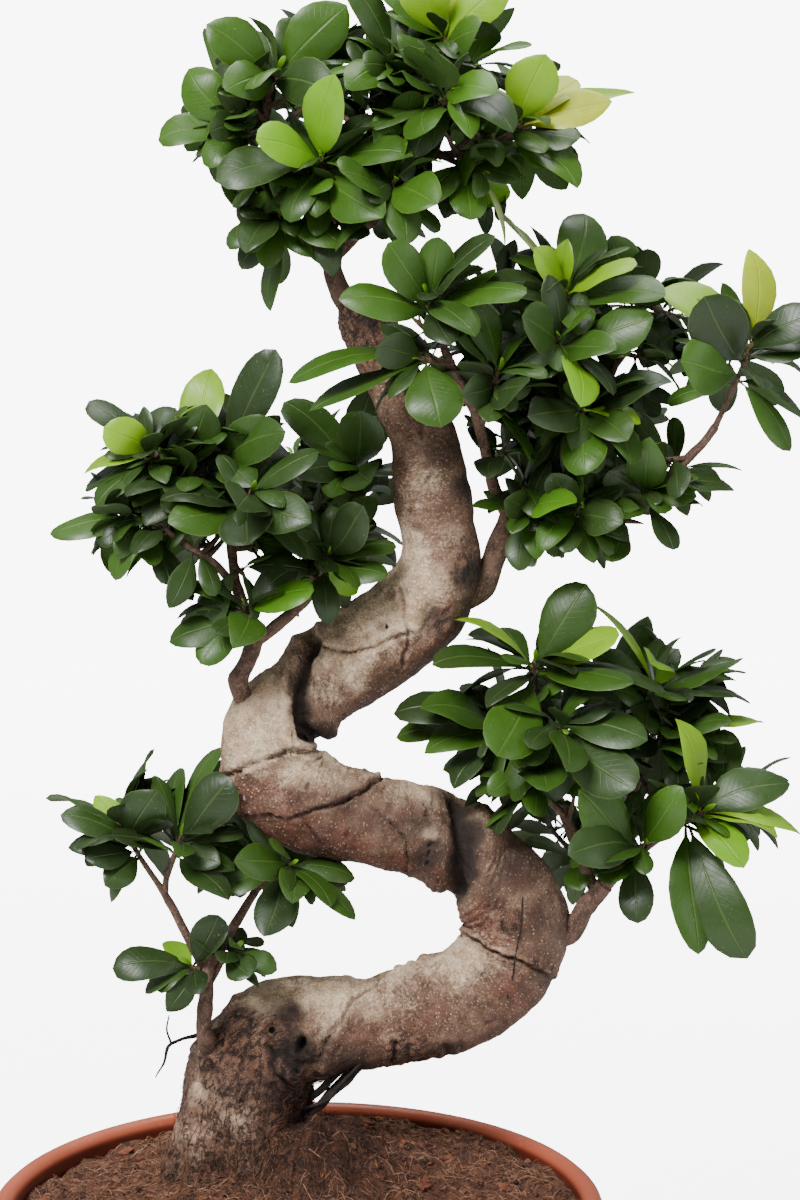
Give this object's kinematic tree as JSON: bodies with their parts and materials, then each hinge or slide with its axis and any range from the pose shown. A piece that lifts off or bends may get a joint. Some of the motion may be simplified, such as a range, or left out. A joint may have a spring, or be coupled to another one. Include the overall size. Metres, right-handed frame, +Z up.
{
  "type": "potted bonsai tree",
  "caption": "S-shaped grafted ficus ginseng bonsai with rounded leafy shoots, rooted in the soil of a round moulded plastic pot that stands on its flat underside.",
  "frame": {"origin": "centre of the pot's flat underside, on the surface that the pot stands on", "axes": "+Z up through the tree, -Y towards the viewer who sees the trunk's S, +X to that viewer's right"},
  "size_m": [0.3601, 0.291, 0.7432],
  "materials": {
    "pot": "moulded terracotta-brown plastic with a soft satin sheen",
    "soil": "loose coarse fibrous potting mix",
    "bark": "smooth grey-beige fig bark with creases and pale dots, reddish brown underneath",
    "young_bark": "thin reddish-brown bark of young stems",
    "leaf": "glossy leathery green leaf with a lighter midrib"
  },
  "bodies": {
    "root": {"pot": "pot", "shoot_crown_back_left": "leaf", "shoot_crown_back_right": "leaf", "shoot_crown_centre": "leaf", "shoot_crown_front": "leaf", "shoot_crown_inner": "leaf", "shoot_crown_left": "leaf", "shoot_crown_left_front": "leaf", "shoot_crown_left_low": "leaf", "shoot_crown_left_top": "leaf", "shoot_crown_right": "leaf", "shoot_crown_right_low": "leaf", "shoot_crown_top": "leaf", "shoot_foot_left": "leaf", "shoot_foot_left_inner": "leaf", "shoot_foot_right": "leaf", "shoot_foot_right_back": "leaf", "shoot_foot_stump_left": "leaf", "shoot_foot_stump_right": "leaf", "shoot_lower_back": "leaf", "shoot_lower_crest": "leaf", "shoot_lower_fork": "leaf", "shoot_lower_front": "leaf", "shoot_lower_inner": "leaf", "shoot_lower_left": "leaf", "shoot_lower_left_under": "leaf", "shoot_lower_outer": "leaf", "shoot_lower_right_spray": "leaf", "shoot_lower_top_right": "leaf", "shoot_middle_back": "leaf", "shoot_middle_crest": "leaf", "shoot_middle_crest_left": "leaf", "shoot_middle_front": "leaf", "shoot_middle_low": "leaf", "shoot_middle_low_left": "leaf", "shoot_middle_right_back": "leaf", "shoot_middle_right_low": "leaf", "shoot_middle_right_top": "leaf", "shoot_middle_tip": "leaf", "shoot_upper_back_left": "leaf", "shoot_upper_back_low": "leaf", "shoot_upper_centre": "leaf", "shoot_upper_crest": "leaf", "shoot_upper_crest_right": "leaf", "shoot_upper_front": "leaf", "shoot_upper_front_low": "leaf", "shoot_upper_inner": "leaf", "shoot_upper_low": "leaf", "shoot_upper_low_right": "leaf", "shoot_upper_outer": "leaf", "shoot_upper_outer_low": "leaf", "shoot_upper_right_front": "leaf", "shoot_upper_right_mid": "leaf", "soil": "soil", "stem_crown": "young_bark", "stem_foot": "young_bark", "stem_lower": "young_bark", "stem_middle": "young_bark", "stem_upper": "young_bark", "trunk": "bark"}
  },
  "joints": []
}
